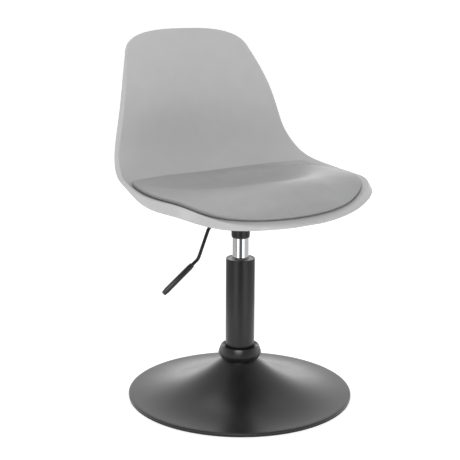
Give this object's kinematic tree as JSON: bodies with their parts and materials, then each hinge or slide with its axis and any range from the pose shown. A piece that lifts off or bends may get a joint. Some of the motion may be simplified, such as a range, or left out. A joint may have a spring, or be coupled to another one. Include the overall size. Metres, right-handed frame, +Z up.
{
  "type": "adjustable swivel stool",
  "caption": "Low swivel stool with a one-piece plastic shell seat and back, set-in padded cushion, lever-operated gas lift column and round trumpet base.",
  "frame": {"origin": "on the column's axis, in the plane of the floor that the base's rubber ring stands on", "axes": "+Z up along the column, the sitter faces -Y, the height lever comes out on the -X side"},
  "size_m": [0.4414, 0.4, 0.6435],
  "materials": {
    "shell_plastic": "fine satin, moulded grey polypropylene",
    "leather": "soft satin grey faux leather with fine grain",
    "board": "raw plywood, hidden inside the cushion",
    "black_steel": "satin black powder coat",
    "black_plastic": "satin moulded black plastic",
    "rubber": "matt black rubber",
    "chrome": "mirror polished chrome plate",
    "zinc_steel": "bright zinc plated steel",
    "brass": "turned brass",
    "nylon": "natural white nylon"
  },
  "bodies": {
    "base": {"base_trumpet": "black_steel", "base_bottom_plate": "black_steel", "base_rubber_ring": "rubber", "base_trim_ring": "black_plastic", "column_tube": "black_steel", "column_foot": "zinc_steel", "column_guide_bush": "black_plastic", "foot_screw_1": "zinc_steel", "foot_screw_2": "zinc_steel", "foot_screw_3": "zinc_steel", "foot_screw_4": "zinc_steel", "thrust_washer_lower": "zinc_steel", "thrust_ball_cage": "brass"},
    "spindle": {"piston_rod": "zinc_steel", "piston": "brass", "piston_seal": "rubber", "rod_clip": "zinc_steel", "thrust_washer_upper": "zinc_steel", "bump_stop": "rubber"},
    "seat": {"gas_cylinder": "chrome", "rod_guide": "nylon", "rod_seal": "rubber", "valve_body": "brass", "taper_socket": "black_steel", "mechanism_housing": "black_steel", "lever_bush": "nylon", "seat_plate": "black_steel", "seat_washer_1": "zinc_steel", "seat_washer_2": "zinc_steel", "seat_washer_3": "zinc_steel", "seat_washer_4": "zinc_steel", "seat_bolt_1": "zinc_steel", "seat_bolt_2": "zinc_steel", "seat_bolt_3": "zinc_steel", "seat_bolt_4": "zinc_steel", "shock_mount_1": "black_plastic", "shock_mount_2": "black_plastic", "shock_mount_3": "black_plastic", "shock_mount_4": "black_plastic", "seat_shell": "shell_plastic", "cushion_board": "board", "seat_cushion": "leather"},
    "lever": {"lever_rod": "black_steel", "lever_grip": "black_plastic"},
    "pin": {"valve_pin": "zinc_steel"}
  },
  "joints": [
    {"name": "swivel", "type": "hinge", "parent": "base", "child": "spindle", "pos_m": [0, 0, 0.026], "axis": [0, 0, 1], "continuous": true},
    {"name": "lift", "type": "slide", "parent": "spindle", "child": "seat", "axis": [0, 0, 1], "range_m": [0, 0.12]},
    {"name": "lever_lift", "type": "hinge", "parent": "seat", "child": "lever", "pos_m": [-0.0267, 0, 0.3185], "axis": [0, 1, 0], "range_deg": [0, 6], "stiffness_Nm_per_rad": 4},
    {"name": "pin_press", "type": "slide", "parent": "seat", "child": "pin", "axis": [0, 0, -1], "range_m": [0, 0.0028]}
  ],
  "couplings": [
    {"joint": "pin_press", "follows": "lever_lift", "m_per_rad": 0.0267}
  ]
}
